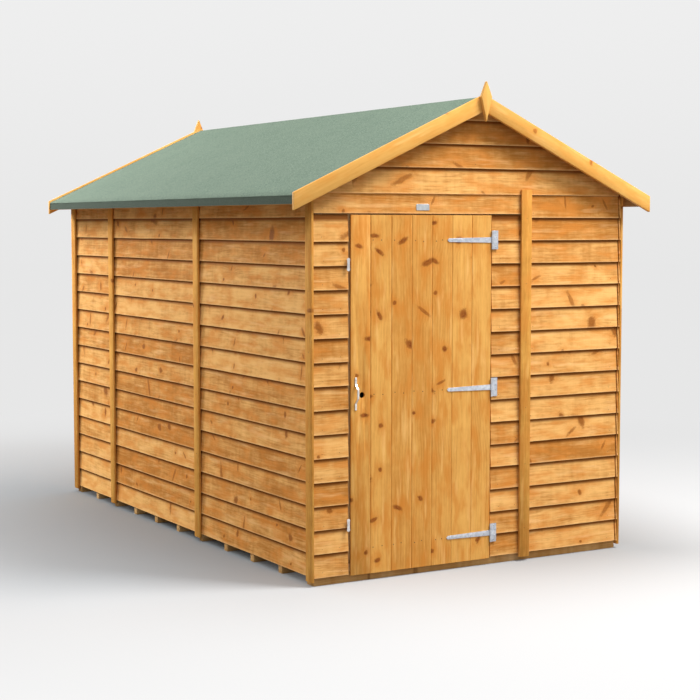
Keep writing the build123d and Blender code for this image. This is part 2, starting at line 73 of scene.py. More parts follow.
class Shader:
    """A material with its Principled shader and short ways to add nodes to it."""

    def __init__(self, name):
        self.material = bpy.data.materials.new(name)
        self.material.use_nodes = True
        self.tree = self.material.node_tree
        self.surface = self.tree.nodes["Principled BSDF"]

    def feed(self, socket, value):
        if isinstance(value, bpy.types.NodeSocket):
            self.tree.links.new(value, socket)
        elif socket.type == "RGBA":
            socket.default_value = (*value, 1.0)
        else:
            socket.default_value = value

    def add(self, kind, values, **settings):
        node = self.tree.nodes.new("ShaderNode" + kind)
        for key, value in settings.items():
            setattr(node, key, value)
        for key, value in values.items():
            self.feed(node.inputs[key], value)
        return node

    def math(self, operation, *values):
        node = self.add("Math", {}, operation=operation)
        for socket, value in zip(node.inputs, values):
            self.feed(socket, value)
        return node.outputs[0]

    def sum(self, *values):
        return reduce(lambda total, value: self.math("ADD", total, value), values)

    def times(self, *values):
        return reduce(lambda total, value: self.math("MULTIPLY", total, value), values)

    def swing(self, value, size):
        """The value about its middle, times a size."""
        return self.times(self.sum(value, -0.5), size)

    def vector(self, x, y, z):
        return self.add("CombineXYZ", {"X": x, "Y": y, "Z": z}).outputs[0]

    def vector_math(self, operation, *values):
        return self.add("VectorMath", dict(enumerate(values)), operation=operation).outputs

    def split(self, vector):
        return self.add("SeparateXYZ", {"Vector": vector}).outputs

    def attribute(self, name):
        return self.add("Attribute", {}, attribute_name=name).outputs["Vector"]

    def object_place(self):
        return self.add("TexCoord", {}).outputs["Object"]

    def noise(self, vector, scale=1.0, detail=2.0, rough=0.5):
        values = {"Vector": vector, "Scale": scale, "Detail": detail, "Roughness": rough}
        return self.add("TexNoise", values).outputs["Fac"]

    def cells(self, vector, scale, **settings):
        return self.add("TexVoronoi", {"Vector": vector, "Scale": scale}, **settings).outputs

    def smooth(self, value, low, high, to_low=0.0, to_high=1.0):
        values = {"Value": value, "From Min": low, "From Max": high,
                  "To Min": to_low, "To Max": to_high}
        return self.add("MapRange", values, interpolation_type="SMOOTHSTEP").outputs[0]

    def bell(self, distance, width):
        ratio = self.math("DIVIDE", distance, width)
        return self.math("EXPONENT", self.times(ratio, ratio, -1.0))

    def mix(self, factor, first, second):
        node = self.add("Mix", {"Factor": factor}, data_type="RGBA")
        self.feed(node.inputs[6], first)
        self.feed(node.inputs[7], second)
        return node.outputs[2]

    def bump(self, height, distance, strength):
        values = {"Height": height, "Distance": distance, "Strength": strength}
        return self.add("Bump", values).outputs[0]

    def set_surface(self, **values):
        for key, value in values.items():
            self.feed(self.surface.inputs[key.replace("_", " ")], value)


# Colours are (red, green, blue). What a paler tint gains in each of them:
PALER = (1.12, 1.25, 1.7)


def blend_of(first, second, share):
    return [a + (b - a) * share for a, b in zip(first, second)]


def paler(tint):
    return [min(1.0, part * gain) for part, gain in zip(tint, PALER)]


# Timber: growth rings cut along a leaning trunk, knots that the rings bend round, fibres,
# tone patches, and the saw's marks

# Each noise: repeats per metre along and across the grain, the value that shifts it, how
# far, detail and roughness
WOOD_NOISE = {
    "ripple": (9.0, 48.0, "into", 48.0, 3.0, 0.5),
    "fibre": (3.5, 150.0, "into", 150.0, 4.0, 0.65),
    "fleck": (26.0, 75.0, "second", 19.0, 3.0, 0.6),
    "patch": (3.4, 20.0, "first", 23.0, 4.0, 0.62),
    "lines": (1.7, 64.0, "third", 17.0, 4.0, 0.7),
    "mottle": (8.0, 16.0, "second", 11.0, 3.0, 0.55),
    "crossing": (34.0, 5.0, "first", 13.0, 2.0, 0.5),
    "hue": (7.0, 20.0, "third", 29.0, 3.0, 0.5),
    "streak": (4.2, 32.0, "second", 31.0, 3.0, 0.5),
    "saw": (190.0, 9.0, "third", 1.0, 2.0, 0.5),
}

# How much each noise darkens the wood
BLOTCH_WEIGHTS = {"fibre": 0.65, "fleck": 0.55, "patch": 0.9, "lines": 1.0}
SAWN_WEIGHTS = {"mottle": 1.1, "crossing": 0.45}
MIDDLE_TONE = 0.30
DEPTH_RANGE = (-0.20, 1.10)

# Noises that change along the board only: repeats per metre, shift and detail
DRIFT = (0.9, 40.0, 2.0)
STEP = (2.1, 37.0, 1.0)
STEP_EDGE = (0.49, 0.52)
STEP_SHARE = 0.14

# The trunk's pith: how far it strays sideways and how deep behind the face it lies
PITH_SPREAD = 0.20
PITH_DEPTH = 0.03
PITH_DEPTH_SPREAD = 0.09
RING_RIPPLE = 0.009
RING_BEND = 0.014
LATE_WOOD_END = 0.88
RING_STRENGTH = (0.30, 0.72, 0.35, 1.0)

# Each set of knots: its shift between boards, its level in the noises, cells per metre and
# the most a knot turns
ROUND_KNOTS = (7.0, 0.0, 5.2, 2.2)
SPIKE_KNOTS = (9.0, 3.0, 4.3, 2.6)
SPIKE_SIZE = (0.006, 0.014)
SPIKE_STRETCH = (2.2, 5.0)
SPIKE_STRENGTH = 0.75
SPIKE_RIM = 0.8

# A knot's parts, in radii of its oval, and the coarse and fine wandering of its edge:
# repeats per metre, detail, roughness and depth
KNOT_FILL = (1.30, 0.35)
RIM_RADIUS = 0.75
RIM_WIDTH = 0.42
RIM_BREAKS = (-0.25, 0.35, 0.25, 1.0)
KNOT_WANDER = ((42.0, 3.0, 0.6, 2.2), (120.0, 2.0, 0.5, 0.9))
HALO_MARGINS = (0.034, 0.012)
HALO_WANDER = 0.5
SHAPE_SHUFFLE = 7.3

# Painted light on lapped boards: a painted highlight along each board's foot, and painted shade
# under the next board's foot
LAP_WANDER = 0.004
FOOT_HIGHLIGHT_EDGE = (0.012, 0.002, 0.0, 0.42)
LAP_SHADE_EDGE = (0.026, 0.005, 0.0, 0.93)

# The height of each mark against the others, the bump's depth, and how much rougher the
# early wood is and how much smoother the hard fibres and knots are
SAW_RELIEF = 0.35
FIBRE_RELIEF = 0.55
LATE_RELIEF = 0.20
KNOT_RELIEF = 0.4
WOOD_RELIEF = 0.0011
PLANED_RELIEF = 0.4
HARD_RANGE = (0.2, 1.4)
ROUGHER = 0.08
SMOOTHER = 0.12


class Timber(Shader):
    """Wood whose grain follows each board.

    "grain" holds each point's place along, across and into its board, and "board" three
    random values that one board shares."""

    def __init__(self, name):
        super().__init__(name)
        self.along, self.across, self.into = self.split(self.attribute("grain"))
        self.first, self.second, self.third = self.split(self.attribute("board"))
        self.layers = {}

    def layer(self, name):
        """One of the wood's noises, made when it is first asked for."""
        if name not in self.layers:
            along_rate, across_rate, shift, reach, detail, rough = WOOD_NOISE[name]
            place = self.vector(
                self.times(self.along, along_rate), self.times(self.across, across_rate),
                self.times(getattr(self, shift), reach))
            self.layers[name] = self.noise(place, detail=detail, rough=rough)
        return self.layers[name]

    def lengthwise(self, shift, rate, reach, detail):
        """A noise that changes along each board only."""
        place = self.vector(self.times(self.along, rate), self.times(shift, reach), 0.0)
        return self.noise(place, detail=detail)

    def knot_layer(self, shift, chance, size, stretch, reach, level, density, turn):
        """Scattered knots, each a turned oval: its inside, its dark rim and its halo."""
        place = self.vector(self.along, self.sum(self.across, self.times(shift, reach)), level)
        cells = self.cells(place, density, voronoi_dimensions="2D")
        draw, big, lean = self.split(cells["Color"])
        offset = self.vector_math("SUBTRACT", place, cells["Position"])[0]
        along, across, _ = self.split(offset)
        angle = self.swing(lean, turn)
        cosine = self.math("COSINE", angle)
        sine = self.math("SINE", angle)
        short = self.sum(self.times(along, cosine), self.times(across, sine))
        tall = self.math("SUBTRACT", self.times(across, cosine), self.times(along, sine))
        narrow = self.smooth(self.times(big, big), 0.0, 1.0, *size)
        shape = self.math("FRACT", self.times(big, SHAPE_SHUFFLE))
        wide = self.times(narrow, self.smooth(shape, 0.0, 1.0, *stretch))
        wobble = self.sum(*[
            self.swing(self.noise(place, rate, detail, rough), depth)
            for rate, detail, rough, depth in KNOT_WANDER])

        def oval(margin_along, margin_across):
            x = self.math("DIVIDE", short, self.sum(narrow, margin_along))
            y = self.math("DIVIDE", tall, self.sum(wide, margin_across))
            return self.math("SQRT", self.sum(self.times(x, x), self.times(y, y)))

        here = self.math("LESS_THAN", draw, chance)
        radius = self.sum(oval(0.0, 0.0), wobble)
        inside = self.times(here, self.smooth(radius, *KNOT_FILL))
        rim = self.times(here, self.bell(self.sum(radius, -RIM_RADIUS), RIM_WIDTH),
                         self.smooth(wobble, *RIM_BREAKS))
        halo = self.times(here, self.bell(
            self.sum(oval(*HALO_MARGINS), self.times(wobble, HALO_WANDER)), 1.0))
        return inside, rim, halo

    def knots(self, chance, spike_chance, size, stretch):
        """Round knots, and the long slanting ones of branches cut along their length."""
        inside, rim, halo = self.knot_layer(self.first, chance, size, stretch, *ROUND_KNOTS)
        if spike_chance > 0.0:
            spike, spike_rim, spike_halo = self.knot_layer(
                self.third, spike_chance, SPIKE_SIZE, SPIKE_STRETCH, *SPIKE_KNOTS)
            inside = self.math("MAXIMUM", inside, self.times(spike, SPIKE_STRENGTH))
            rim = self.math("MAXIMUM", rim, self.times(spike_rim, SPIKE_RIM))
            halo = self.math("MAXIMUM", halo, spike_halo)
        return inside, rim, halo

    def late_wood(self, halo, pitch):
        """The dark edge of each growth ring, round a pith that drifts along the board."""
        drift = self.lengthwise(self.third, *DRIFT)
        pith_across = self.sum(self.swing(self.third, PITH_SPREAD),
                               self.swing(drift, PITH_SPREAD))
        pith_depth = self.sum(self.times(self.second, PITH_DEPTH_SPREAD), PITH_DEPTH)
        side = self.math("SUBTRACT", self.across, pith_across)
        deep = self.sum(self.into, pith_depth)
        trunk = self.math("SQRT", self.sum(self.times(side, side), self.times(deep, deep)))
        trunk = self.sum(trunk, self.swing(self.layer("ripple"), RING_RIPPLE),
                         self.times(halo, RING_BEND))
        ring = self.math("FRACT", self.math("DIVIDE", trunk, pitch))
        return self.times(self.math("POWER", ring, 2.0), self.smooth(ring, 1.0, LATE_WOOD_END))

    def darkness(self, late, rings, blotch, sawn, tone):
        """How far each point lies from the light colour towards the dark one."""
        strength = self.smooth(self.layer("patch"), *RING_STRENGTH)
        step = self.smooth(self.lengthwise(self.first, *STEP), *STEP_EDGE)
        depth = self.times(late, rings, strength)
        for weights, share in ((BLOTCH_WEIGHTS, blotch), (SAWN_WEIGHTS, sawn)):
            for name, weight in weights.items():
                depth = self.sum(depth, self.swing(self.layer(name), weight * share))
        return self.sum(depth, self.swing(self.first, tone),
                        self.times(step, STEP_SHARE * blotch), MIDDLE_TONE)

    def painted_lap_light(self, base, pale, shade_colour):
        """A painted highlight on the foot of a lapped board, and painted shade under the next
        board's foot.
        """
        above_foot, below_lap, _ = self.split(self.attribute("lap"))
        wander = self.times(self.layer("fleck"), LAP_WANDER)
        foot = self.smooth(self.sum(above_foot, wander), *FOOT_HIGHLIGHT_EDGE)
        under_lap_shade = self.smooth(self.sum(below_lap, wander), *LAP_SHADE_EDGE)
        return self.mix(under_lap_shade, self.mix(foot, base, pale), shade_colour)

    def finish(self, base, late, inside, roughness, sawn, gloss):
        fibre = self.layer("fibre")
        height = self.sum(
            self.times(self.layer("saw"), SAW_RELIEF * sawn), self.times(fibre, FIBRE_RELIEF),
            self.times(late, LATE_RELIEF), self.times(inside, KNOT_RELIEF))
        self.set_surface(
            Base_Color=base,
            Roughness=self.smooth(self.sum(fibre, inside), *HARD_RANGE,
                                  roughness + ROUGHER, roughness - SMOOTHER),
            Normal=self.bump(height, WOOD_RELIEF * (PLANED_RELIEF + sawn), 0.8),
            Specular_IOR_Level=gloss)


def timber(name, light, dark, knot, warm, rings=0.30, knots=0.5, spikes=0.5, tone=0.5,
           sawn=1.0, roughness=0.72, ring_pitch=0.0085, pale=0.5, blotch=1.0,
           knot_size=(0.007, 0.016), knot_stretch=(1.0, 2.2), rim_share=0.55, lapped=False,
           gloss=0.06):
    wood = Timber(name)
    inside, rim, halo = wood.knots(knots, spikes, knot_size, knot_stretch)
    late = wood.late_wood(halo, ring_pitch)
    depth = wood.darkness(late, rings, blotch, sawn, tone)
    base = wood.mix(wood.smooth(depth, *DEPTH_RANGE), light, dark)
    for share, tint in (
            (wood.smooth(wood.layer("hue"), 0.42, 0.70, 0.0, 0.65), warm),
            (wood.times(wood.smooth(wood.layer("streak"), 0.54, 0.74), pale), paler(light)),
            (wood.times(halo, 0.62), warm),
            (wood.times(inside, 0.88), blend_of(warm, knot, 0.72)),
            (wood.times(rim, rim_share), knot)):
        base = wood.mix(share, base, tint)
    # Lapped boards get a painted highlight on each foot and painted shade under the laps
    if lapped:
        base = wood.painted_lap_light(base, paler(light), blend_of(dark, knot, 0.92))
    wood.finish(base, late, inside, roughness, sawn, gloss)
    return wood.material


CLADDING = timber(
    "cladding_timber", (0.90, 0.495, 0.160), (0.48, 0.182, 0.032), (0.170, 0.045, 0.006),
    (0.70, 0.248, 0.042), knots=0.42, tone=0.80, pale=0.35, knot_size=(0.008, 0.024),
    knot_stretch=(0.6, 1.7), lapped=True)
TRIM = timber(
    "trim_timber", (0.84, 0.43, 0.094), (0.48, 0.20, 0.034), (0.22, 0.060, 0.010),
    (0.64, 0.25, 0.045), knots=0.40, spikes=0.0, tone=0.35, sawn=0.6, blotch=0.8,
    rim_share=0.70, knot_size=(0.006, 0.012))
BARGE = timber(
    "barge_timber", (0.84, 0.46, 0.118), (0.66, 0.30, 0.058), (0.34, 0.09, 0.012),
    (0.76, 0.33, 0.060), spikes=0.0, tone=0.2, sawn=0.15, roughness=0.5, ring_pitch=0.012,
    blotch=0.6, gloss=0.12)
DOOR = timber(
    "door_timber", (0.86, 0.455, 0.112), (0.55, 0.215, 0.034), (0.17, 0.030, 0.003),
    (0.66, 0.225, 0.028), rings=0.34, knots=0.66, spikes=0.34, tone=0.45, sawn=0.15,
    roughness=0.55, ring_pitch=0.013, blotch=0.75, knot_size=(0.009, 0.019),
    knot_stretch=(0.9, 2.6), rim_share=0.85, gloss=0.12)
FRAMING = timber(
    "frame_timber", (0.74, 0.50, 0.25), (0.50, 0.29, 0.115), (0.18, 0.075, 0.03),
    (0.62, 0.36, 0.15), tone=0.4)
FLOORING = timber(
    "floor_timber", (0.72, 0.44, 0.18), (0.42, 0.20, 0.055), (0.14, 0.050, 0.015),
    (0.52, 0.27, 0.09), tone=0.3)
ROOF_BOARDING = timber(
    "roof_boards", (0.72, 0.50, 0.27), (0.48, 0.29, 0.12), (0.16, 0.07, 0.03),
    (0.60, 0.36, 0.16), tone=0.45)


# Green mineral felt: granules of two sizes on a dark sheet, with painted shade on the part that
# folds down over the eave

GRANULE_RATE = 260.0
COARSE_RATE = 110.0


def felt_material():
    shader = Shader("roof_felt")
    place = shader.object_place()
    granules = shader.cells(place, GRANULE_RATE)
    grit = shader.split(granules["Color"])[0]
    coarse = shader.split(shader.cells(place, COARSE_RATE)["Color"])[1]
    cloud = shader.noise(place, scale=5.0, detail=4.0, rough=0.6)
    speck = shader.noise(place, scale=130.0, detail=3.0, rough=0.75)
    drip_shade = shader.add("Attribute", {}, attribute_name="drip_shade").outputs["Fac"]
    base = shader.mix(grit, (0.064, 0.105, 0.072), (0.182, 0.242, 0.181))
    for share, tint in (
            (shader.times(coarse, 0.40), (0.160, 0.220, 0.153)),
            (shader.smooth(speck, 0.40, 0.66, 0.0, 0.60), (0.055, 0.090, 0.068)),
            (shader.smooth(cloud, 0.30, 0.72, 0.0, 0.25), (0.155, 0.205, 0.150)),
            # painted shade on the drip folded down over the eave
            (shader.times(drip_shade, 0.66), (0.030, 0.042, 0.028))):
        base = shader.mix(share, base, tint)
    height = shader.sum(shader.times(granules["Distance"], -0.6), shader.times(speck, 0.5))
    shader.set_surface(Base_Color=base, Roughness=0.92, Specular_IOR_Level=0.25,
                       Normal=shader.bump(height, 0.0012, 0.9))
    return shader.material


# Plated steel: faint crystals, and a haze that varies its tone and its gloss

CRYSTAL_RATE = 90.0
CRYSTAL_SHARE = 0.5
CRYSTAL_RANGE = (0.35, 1.1)
HAZE_RANGE = (0.25, 0.75)


def metal(name, base, shade, rough_low, rough_high):
    shader = Shader(name)
    place = shader.object_place()
    crystal = shader.split(shader.cells(place, CRYSTAL_RATE)["Color"])[0]
    haze = shader.noise(place, scale=35.0, detail=3.0, rough=0.6)
    tone = shader.sum(shader.times(crystal, CRYSTAL_SHARE), haze)
    shader.set_surface(
        Base_Color=shader.mix(shader.smooth(tone, *CRYSTAL_RANGE), base, shade),
        Metallic=0.9,
        Roughness=shader.smooth(haze, *HAZE_RANGE, rough_low, rough_high),
        Normal=shader.bump(haze, 0.0004, 0.5))
    return shader.material


FELT = felt_material()
ZINC = metal("zinc_plate", (0.64, 0.66, 0.70), (0.46, 0.49, 0.55), 0.34, 0.52)
BRIGHT_ZINC = metal("bright_zinc", (0.70, 0.68, 0.65), (0.56, 0.55, 0.54), 0.26, 0.42)
BADGE = metal("badge_plate", (0.55, 0.57, 0.57), (0.43, 0.45, 0.46), 0.38, 0.5)
NAIL = metal("nail_heads", (0.16, 0.10, 0.06), (0.10, 0.06, 0.035), 0.5, 0.7)


# Mesh building

CORNER_ANGLE = math.radians(25.0)
GRAIN_SHIFT = 30.0
BOARD_LAYERS = ("grain", "board", "lap")


def new_mesh():
    bm = bmesh.new()
    for name in BOARD_LAYERS:
        bm.verts.layers.float_vector.new(name)
    return bm


def about_zero(rng, spread):
    return (rng.random() - 0.5) * spread


def board_values(rng):
    return Vector([rng.random() for _ in range(3)])


def new_object(name, data):
    item = bpy.data.objects.new(name, data)
    bpy.context.scene.collection.objects.link(item)
    return item


def show(bm, name, material, body="root", nodes=(), sharp=28.0):
    """Makes the mesh a smooth-shaded piece with its material, on its body, in place of the given
    nodes.
    """
    slot = "zinc_plate" if material in (BADGE, NAIL) else material.name.split(".")[0]
    bmesh.ops.recalc_face_normals(bm, faces=bm.faces[:])
    mesh = bpy.data.meshes.new(name)
    bm.to_mesh(mesh)
    bm.free()
    mesh.polygons.foreach_set("use_smooth", [True] * len(mesh.polygons))
    mesh.set_sharp_from_angle(angle=math.radians(sharp))
    mesh.materials.append(material)
    piece = new_object(name, mesh)
    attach(piece, body)
    if nodes:
        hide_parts(*nodes)


def join_rings(bm, rings):
    """Faces between each ring of vertices and the next."""
    for before, after in zip(rings, rings[1:]):
        for i in range(len(before)):
            k = (i + 1) % len(before)
            bm.faces.new((before[i], before[k], after[k], after[i]))


def close_rings(bm, rings):
    join_rings(bm, rings)
    bm.faces.new(rings[0][::-1])
    bm.faces.new(rings[-1])


def add_board(bm, origin, along, across, into, length, outline, rng, step=0.06, bend=None,
              lap_line=0.0, tone=None, shade=1.0):
    """A board of constant section: outline holds (across, into) points, bend moves them.

    lap_line is how far above its foot the next board's foot covers it."""
    grain, board, lap = [bm.verts.layers.float_vector[layer] for layer in BOARD_LAYERS]
    values = board_values(rng)
    values.x = values.x * shade if tone is None else tone
    start = rng.random() * GRAIN_SHIFT
    middle = sum(point[0] for point in outline) / len(outline)
    count = max(1, round(length / step))
    rings = []
    for i in range(count + 1):
        place = length * i / count
        ring = []
        for side, deep in outline:
            rise, sink = bend(place, side) if bend else (0.0, 0.0)
            vert = bm.verts.new(
                origin + along * place + across * (side + rise) + into * (deep + sink))
            vert[grain] = (start + place, side - middle, deep)
            vert[board] = values
            # the lap values place the painted highlight on the foot and the painted shade under
            # the lap
            vert[lap] = (side, lap_line - side, 0.0)
            ring.append(vert)
        rings.append(ring)
    close_rings(bm, rings)


def board_row(name, first, along, across, into, length, sections, pitch, step):
    """A mesh of boards side by side, one for each section."""
    rng = random.Random(name)
    bm = new_mesh()
    for i, section in enumerate(sections):
        add_board(bm, first + across * (pitch * i), along, across, into, length, section, rng,
                  step=step)
    return bm


def eased(width, thick, ease):
    """A board's section with its four corners eased."""
    return [(ease, 0.0), (width - ease, 0.0), (width, ease), (width, thick - ease),
            (width - ease, thick), (ease, thick), (0.0, thick - ease), (0.0, ease)]


# Shapes taken from the frame: the CAD solid with eased edges, and for timber its own grain

def node_mesh(node):
    bm = bmesh.new()
    bm.from_mesh(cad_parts[node].data)
    bmesh.ops.remove_doubles(bm, verts=bm.verts[:], dist=1e-6)
    return bm


def eased_mesh(node, ease):
    bm = node_mesh(node)
    bmesh.ops.dissolve_limit(bm, angle_limit=math.radians(1.0), verts=bm.verts[:],
                             edges=bm.edges[:])
    corners = [e for e in bm.edges if len(e.link_faces) == 2
               and e.calc_face_angle() > CORNER_ANGLE]
    bmesh.ops.bevel(bm, geom=corners, offset=ease, segments=2, profile=0.5,
                    affect="EDGES", clamp_overlap=True)
    return bm


def islands(bm):
    """The vertices of each separate solid in a mesh."""
    left = set(bm.verts)
    while left:
        start = next(v for v in bm.verts if v in left)
        left.discard(start)
        group = [start]
        for vert in group:
            for edge in vert.link_edges:
                other = edge.other_vert(vert)
                if other in left:
                    left.discard(other)
                    group.append(other)
        yield group


def dress_timber(node, name, material, body="root", ease=0.0015, tone=None):
    """Timber whose grain runs the longest way of each separate solid."""
    rng = random.Random(name)
    bm = eased_mesh(node, ease)
    grain, board = [bm.verts.layers.float_vector.new(layer) for layer in BOARD_LAYERS[:2]]
    for group in list(islands(bm)):
        cloud = np.array([tuple(v.co) for v in group])
        middle = cloud.mean(0)
        axes = np.linalg.svd(cloud - middle, full_matrices=False)[2]
        values = board_values(rng)
        if tone:
            values.x = tone(Vector(middle), values.x)
        start = rng.random() * GRAIN_SHIFT
        for vert in group:
            local = axes @ (np.array(vert.co) - middle)
            vert[grain] = (start + local[0], local[1], local[2])
            vert[board] = values
    show(bm, name, material, body, (node,))


def dress_metal(node, name, material, body="root"):
    show(eased_mesh(node, 0.0005), name, material, body, (node,))


# Lapped boarding: each board leans out 8 mm and covers the top of the board below

BOARD_PITCH = 0.110
LAP_COVER = 0.015
LAP_SLOPE = 0.008 / BOARD_PITCH
FOOT_THICK = 0.0076
TOP_THICK = 0.0064
FOOT_SET_BACK = 0.0002
LAP_EASE = 0.0011
BOARD_END_GAP = 0.0008
LEAST_BOARD = 0.02

# The small moves of a board: repeats per metre, level in the noise and depth of each wave
LONG_WAVE = (2.3, 0.0, 0.0011)
SHORT_WAVE = (13.0, 5.0, 0.0004)
WARP_WAVE = (1.7, 9.0, 0.0005)
USUAL_RISE = 0.0013
USUAL_WARP = 0.0005
TILT_SPREAD = 0.0022
MOST_BOW = 0.0012

NAIL_ABOVE_FOOT = 0.022
NAIL_FROM_END = 0.046
NAIL_STRAY_ALONG = 0.012
NAIL_STRAY_UP = 0.008
LONG_BOARD = 1.0

# The gables' highest point, and how far under the roof's slope a nail has to be
RIDGE_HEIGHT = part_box("front_wall_gable")[1].z
NAIL_UNDER_ROOF = 0.02

# What stands out in the photograph: the share of the random tone that a panel's boards keep,
# and its boards with a tone of their own, darker (1) or paler (0), counted from the bottom
PANEL_TONES = {
    # painted light: board 16 at the top of each left panel, in the eave's shade, is made pale
    "left_wall_front_boarding": (1.0, {
        16: 0.05, 15: 0.6, 14: 0.8, 13: 0.75, 12: 0.45, 9: 0.4, 6: 0.7, 4: 0.85}),
    "left_wall_middle_boarding": (1.0, {
        16: 0.05, 14: 0.4, 13: 0.8, 12: 0.85, 9: 0.5, 8: 0.9, 6: 0.8, 4: 0.9}),
    "left_wall_rear_boarding": (0.6, {16: 0.05, 15: 0.5, 14: 0.3, 10: 0.2, 7: 0.3, 5: 0.6}),
    "front_boarding_left_of_door": (0.75, {13: 0.2, 11: 0.75, 9: 0.85, 5: 0.15, 3: 0.9}),
    "front_boarding_right_of_door": (0.75, {14: 0.8, 12: 0.75, 9: 0.8, 6: 0.2, 3: 0.9}),
    # partly painted shade: the two top boards are darker partly in their own tone and partly as
    # painted shadow under the barge board
    "front_boarding_right_panel": (0.4, {
        15: 1.0, 14: 1.0, 13: 0.6, 9: 0.1, 6: 0.2, 4: 0.95}),
    # painted shade: the gable's boards are made darker where the barge boards' shadow falls, the
    # top one less
    "front_gable_boarding": (0.8, {0: 0.45, 1: 0.85, 2: 0.95, 3: 0.55}),
}

boarding_nails = []


def lapped_section(height):
    """(across, into) points of one leaning board, foot first, with eased arrises."""
    full = BOARD_PITCH + LAP_COVER
    thick = FOOT_THICK + (TOP_THICK - FOOT_THICK) * min(1.0, height / full)
    top = LAP_SLOPE * height
    face = [(LAP_EASE, FOOT_SET_BACK)]
    for up in (height * 0.3, height * 0.65):
        face.append((up, LAP_SLOPE * up))
    head = [(height - LAP_EASE, top), (height, top + LAP_EASE),
            (height, top + thick - LAP_EASE), (height - LAP_EASE, top + thick)]
    foot = [(LAP_EASE, FOOT_THICK), (0.0, FOOT_THICK - LAP_EASE), (0.0, LAP_EASE)]
    return face + head + foot


def wave_at(place, seed, rate, level, depth):
    return noise.noise(Vector((place * rate, seed, level))) * depth


def board_bend(rng, run, height):
    """How one board strays: a function of a point's place along and across it."""
    seed = rng.random() * 100.0
    tilt = about_zero(rng, TILT_SPREAD)
    bow = rng.random() * MOST_BOW

    def bend(place, side):
        share = 1.0 - side / height
        rise = (USUAL_RISE + wave_at(place, seed, *LONG_WAVE) + wave_at(place, seed, *SHORT_WAVE)
                + tilt * (place / run - 0.5))
        cup = math.sin(math.pi * min(1.0, side / height)) * bow
        warp = USUAL_WARP + wave_at(place, seed, *WARP_WAVE)
        return max(0.0, rise) * share, max(0.0, cup + warp * share)

    return bend


def board_nails(rng, origin, along, outward, run, bend):
    """Where the nails near a board's foot are: at its ends, and halfway if it is long."""
    places = [NAIL_FROM_END, run - NAIL_FROM_END]
    if run > LONG_BOARD:
        places.append(run / 2)
    spots = []
    for place in places:
        place += about_zero(rng, NAIL_STRAY_ALONG)
        up = NAIL_ABOVE_FOOT + about_zero(rng, NAIL_STRAY_UP)
        rise, sink = bend(place, up)
        face = outward * (LAP_SLOPE * up + sink)
        spots.append((origin + along * place + UP * (up + rise) - face, outward))
    return spots


def lapped_boards(bm, low, high, outward, lines, top, rng, name=""):
    """Fills the wall between two corners with boards whose feet are on the given lines."""
    along = UP.cross(outward)
    corner = Vector([
        high[i] if (along[i] < 0 or outward[i] > 0) else low[i] for i in range(3)])
    run = abs((high - low).dot(along))
    shade, tones = PANEL_TONES.get(name, (1.0, {}))
    for index, line in enumerate(lines):
        is_last = index + 1 == len(lines)
        height = (top if is_last else lines[index + 1] + LAP_COVER) - line
        if height < LEAST_BOARD:
            continue
        origin = Vector((corner.x, corner.y, line)) + along * BOARD_END_GAP
        bend = board_bend(rng, run, height)
        covered = 2 * height if is_last else height - LAP_COVER
        add_board(bm, origin, along, UP, -outward, run - 2 * BOARD_END_GAP,
                  lapped_section(height), rng, bend=bend, lap_line=covered,
                  tone=tones.get(index), shade=shade)
        for point, facing in board_nails(rng, origin, along, outward, run, bend):
            if point.z + ROOF_SLOPE * abs(point.x) < RIDGE_HEIGHT - NAIL_UNDER_ROOF:
                boarding_nails.append((point, facing))


def lapped_panel(node, name, outward):
    rng = random.Random(name)
    low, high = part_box(node)
    count = int((high.z - low.z - LAP_COVER) / BOARD_PITCH + 1e-6) + 1
    lines = [low.z + BOARD_PITCH * i for i in range(count)]
    bm = new_mesh()
    lapped_boards(bm, low, high, outward, lines, high.z, rng, name)
    show(bm, name, CLADDING, nodes=(node,))


for hand, outward in (("left", LEFT), ("right", RIGHT)):
    for panel in ("front", "middle", "rear"):
        wall = f"{hand}_wall_{panel}"
        lapped_panel(wall + "_panel", wall + "_boarding", outward)
for end, outward, panels in (
        ("front", FRONT, ("left_of_door", "right_of_door", "right_panel")),
        ("back", BACK, ("left_panel", "right_panel"))):
    for panel in panels:
        lapped_panel(f"{end}_wall_{panel}", f"{end}_boarding_{panel}", outward)

# The gables: boards cut along the roof slope, and at the front a board over the door

GABLE_LINES = (1.798, 1.921, 2.034, 2.147)
HEAD_BOARD_TOP = GABLE_LINES[0] + LAP_COVER * 0.9
ROOF_GAP = 0.0005


def cut_along(bm, point, normal):
    """Cuts everything beyond the plane away and closes the cut."""
    geometry = bm.verts[:] + bm.edges[:] + bm.faces[:]
    cut = bmesh.ops.bisect_plane(bm, geom=geometry, plane_co=point, plane_no=normal,
                                 clear_outer=True)
    edges = [e for e in cut["geom_cut"] if isinstance(e, bmesh.types.BMEdge)]
    bmesh.ops.holes_fill(bm, edges=edges, sides=0)


def gable_boards(node, name, outward):
    rng = random.Random(name)
    low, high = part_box(node)
    bm = new_mesh()
    lapped_boards(bm, low, high, outward, GABLE_LINES, high.z, rng, name)
    for side in (-1.0, 1.0):
        cut_along(bm, UP * (high.z - ROOF_GAP), UP + RIGHT * (side * ROOF_SLOPE))
    if low.z < GABLE_LINES[0]:
        corner = Vector((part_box("front_wall_right_panel")[0].x, high.y, high.z))
        lapped_boards(bm, low, corner, outward, [low.z], HEAD_BOARD_TOP, rng)
    show(bm, name, CLADDING, nodes=(node,))


gable_boards("front_wall_gable", "front_gable_boarding", FRONT)
gable_boards("back_wall_gable", "back_gable_boarding", BACK)

# Strips, frames, floor bearers and barge boards, from the frame's own shapes

OUTER_BEARER = 1.4


def dress_wall_frame(wall):
    dress_timber(wall + "_studs", wall + "_uprights", FRAMING)
    dress_timber(wall + "_rails", wall + "_crosspieces", FRAMING)


